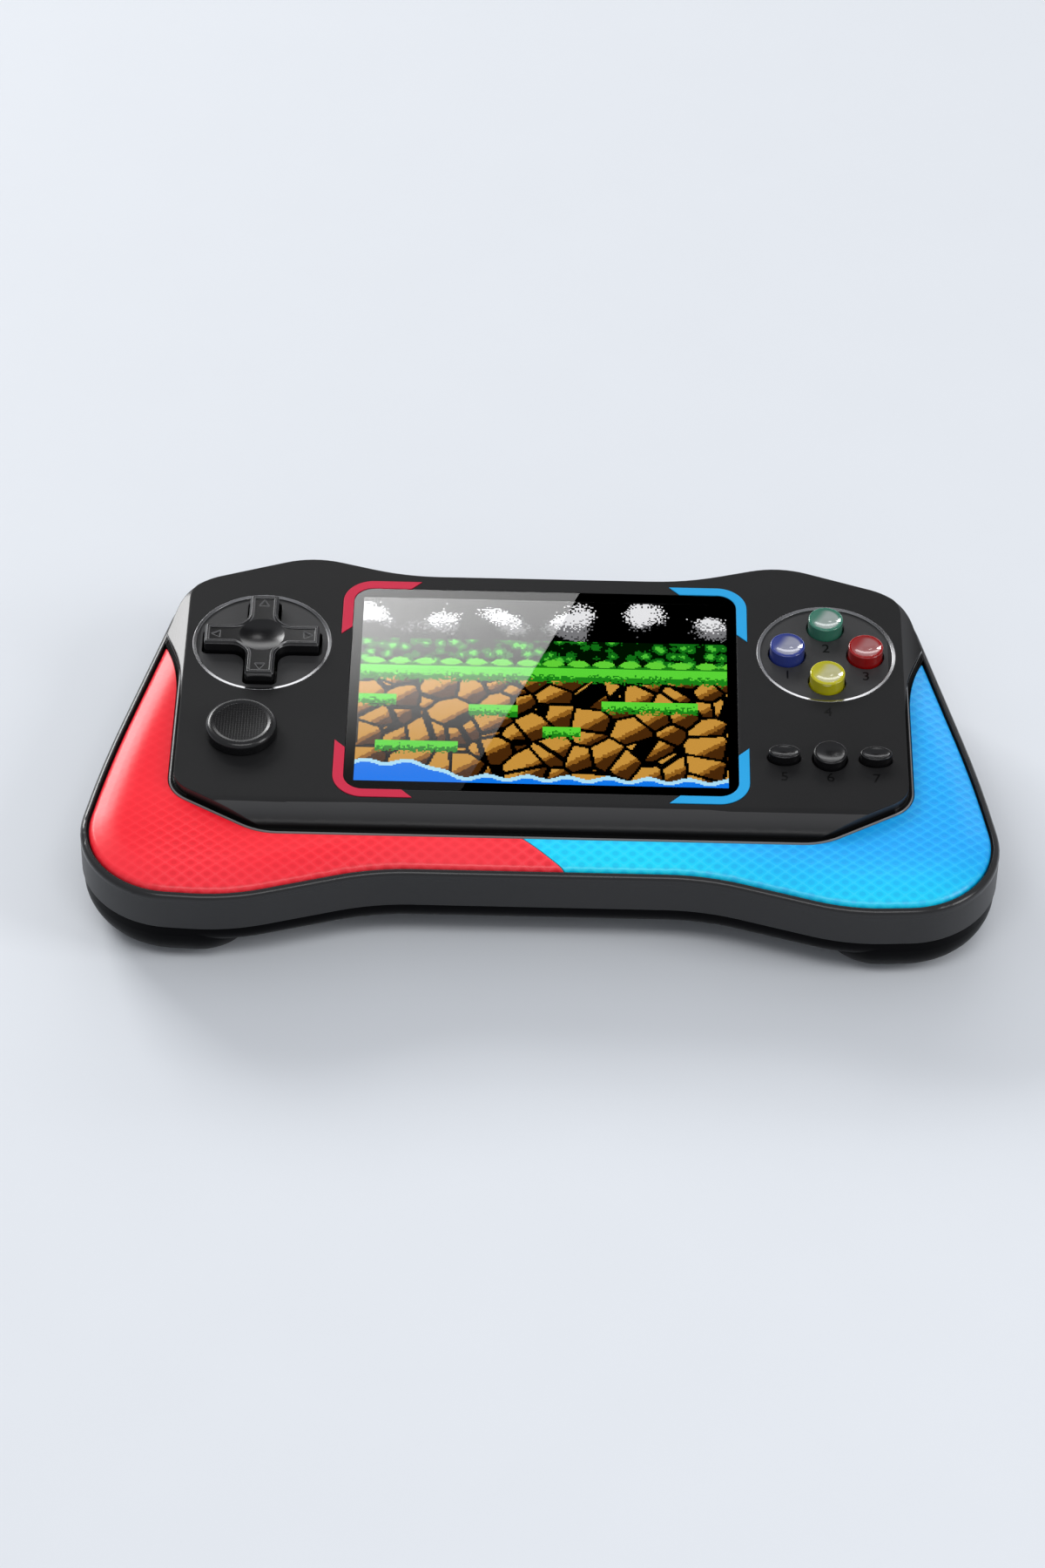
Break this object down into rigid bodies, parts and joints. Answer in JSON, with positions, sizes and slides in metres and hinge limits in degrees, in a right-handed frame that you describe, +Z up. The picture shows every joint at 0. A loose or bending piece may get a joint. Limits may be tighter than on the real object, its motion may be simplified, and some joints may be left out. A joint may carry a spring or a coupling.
{
  "type": "handheld game console",
  "caption": "Handheld game console: two-grip moulded body with screen, rocking cross pad, sliding thumb pad, round and oval buttons, volume wheel, power slider and hinged battery door",
  "frame": {"origin": "on the table, under the middle of the body's outline seen from above", "axes": "+X to the player's right, +Y away from the player, +Z up out of the screen"},
  "size_m": [0.1708, 0.0904, 0.025],
  "materials": {
    "shell_black": "satin moulded",
    "wall_black": "fine matt",
    "grip_red": "satin, fine raised pattern",
    "grip_blue": "satin, fine raised pattern",
    "face_charcoal": "soft matt",
    "lens_clear": "polished",
    "frame_black": "gloss print",
    "accent_red": "satin",
    "accent_blue": "satin",
    "display_glass": "lit picture",
    "ribbon_amber": "film",
    "connector_ivory": "moulded",
    "dpad_black": "satin",
    "pivot_white": "moulded",
    "mat_grey": "matt",
    "stick_black": "fine grid",
    "carriage_white": "moulded",
    "tray_black": "moulded",
    "cover_steel": "stamped",
    "button_blue": "clear tint",
    "button_green": "clear tint",
    "button_red": "clear tint",
    "button_yellow": "clear tint",
    "function_black": "satin",
    "board_green": "solder mask",
    "chip_black": "moulded",
    "jack_black": "moulded",
    "port_steel": "plated",
    "pot_steel": "stamped",
    "wheel_black": "knurled",
    "switch_steel": "stamped",
    "knob_black": "satin",
    "speaker_grey": "paper cone",
    "battery_wrap": "film wrap",
    "contact_brass": "sprung strip",
    "screw_steel": "black zinc"
  },
  "bodies": {
    "console": {"rear_shell": "shell_black", "front_shell": "wall_black", "left_grip_panel": "grip_red", "right_grip_panel": "grip_blue", "faceplate": "face_charcoal", "screen_lens": "lens_clear", "lens_frame": "frame_black", "red_accents": "accent_red", "blue_accents": "accent_blue", "display_panel": "display_glass", "display_ribbon": "ribbon_amber", "ribbon_connector": "connector_ivory", "dpad_mat": "mat_grey", "button_mat": "mat_grey", "function_mat": "mat_grey", "stick_tray": "tray_black", "stick_cover": "cover_steel", "main_board": "board_green", "processor_chip": "chip_black", "memory_chip": "chip_black", "av_jack": "jack_black", "usb_port": "port_steel", "volume_pot": "pot_steel", "power_switch": "switch_steel", "speaker": "speaker_grey", "battery": "battery_wrap", "battery_contacts": "contact_brass", "shell_screws": "screw_steel", "board_screws": "screw_steel"},
    "dpad_pivot": {"dpad_pivot": "pivot_white"},
    "dpad": {"dpad": "dpad_black"},
    "stick_carriage": {"stick_carriage": "carriage_white"},
    "stick_cap": {"stick_cap": "stick_black"},
    "blue_button": {"blue_button": "button_blue"},
    "green_button": {"green_button": "button_green"},
    "red_button": {"red_button": "button_red"},
    "yellow_button": {"yellow_button": "button_yellow"},
    "left_function_button": {"left_function_button": "function_black"},
    "middle_function_button": {"middle_function_button": "function_black"},
    "right_function_button": {"right_function_button": "function_black"},
    "volume_wheel": {"volume_wheel": "wheel_black"},
    "power_knob": {"power_knob": "knob_black"},
    "battery_door": {"battery_door": "shell_black"}
  },
  "joints": [
    {"name": "dpad_rock_up_down", "type": "hinge", "parent": "console", "child": "dpad_pivot", "pos_m": [-0.05411, 0.02006, 0.01795], "axis": [1, 0, 0], "range_deg": [-4, 4], "stiffness_Nm_per_rad": 0.1},
    {"name": "dpad_rock_left_right", "type": "hinge", "parent": "dpad_pivot", "child": "dpad", "pos_m": [-0.05411, 0.02006, 0.01795], "axis": [0, 1, 0], "range_deg": [-4, 4], "stiffness_Nm_per_rad": 0.1},
    {"name": "stick_slide_x", "type": "slide", "parent": "console", "child": "stick_carriage", "axis": [1, 0, 0], "range_m": [-0.0015, 0.0015], "stiffness_N_per_m": 400},
    {"name": "stick_slide_y", "type": "slide", "parent": "stick_carriage", "child": "stick_cap", "axis": [0, 1, 0], "range_m": [-0.0015, 0.0015], "stiffness_N_per_m": 400},
    {"name": "blue_button_press", "type": "slide", "parent": "console", "child": "blue_button", "axis": [0, 0, -1], "range_m": [0, 0.0012], "stiffness_N_per_m": 700},
    {"name": "green_button_press", "type": "slide", "parent": "console", "child": "green_button", "axis": [0, 0, -1], "range_m": [0, 0.0012], "stiffness_N_per_m": 700},
    {"name": "red_button_press", "type": "slide", "parent": "console", "child": "red_button", "axis": [0, 0, -1], "range_m": [0, 0.0012], "stiffness_N_per_m": 700},
    {"name": "yellow_button_press", "type": "slide", "parent": "console", "child": "yellow_button", "axis": [0, 0, -1], "range_m": [0, 0.0012], "stiffness_N_per_m": 700},
    {"name": "left_function_button_press", "type": "slide", "parent": "console", "child": "left_function_button", "axis": [0, 0, -1], "range_m": [0, 0.0007], "stiffness_N_per_m": 900},
    {"name": "middle_function_button_press", "type": "slide", "parent": "console", "child": "middle_function_button", "axis": [0, 0, -1], "range_m": [0, 0.0007], "stiffness_N_per_m": 900},
    {"name": "right_function_button_press", "type": "slide", "parent": "console", "child": "right_function_button", "axis": [0, 0, -1], "range_m": [0, 0.0007], "stiffness_N_per_m": 900},
    {"name": "volume_turn", "type": "hinge", "parent": "console", "child": "volume_wheel", "pos_m": [0.0055, 0.03586, 0.012], "axis": [0, 0, 1], "range_deg": [-140, 140]},
    {"name": "power_slide", "type": "slide", "parent": "console", "child": "power_knob", "axis": [1, 0, 0], "range_m": [0, 0.0025]},
    {"name": "battery_door_hinge", "type": "hinge", "parent": "console", "child": "battery_door", "pos_m": [0, -0.01379, 0.00605], "axis": [-1, 0, 0], "range_deg": [0, 75]}
  ]
}
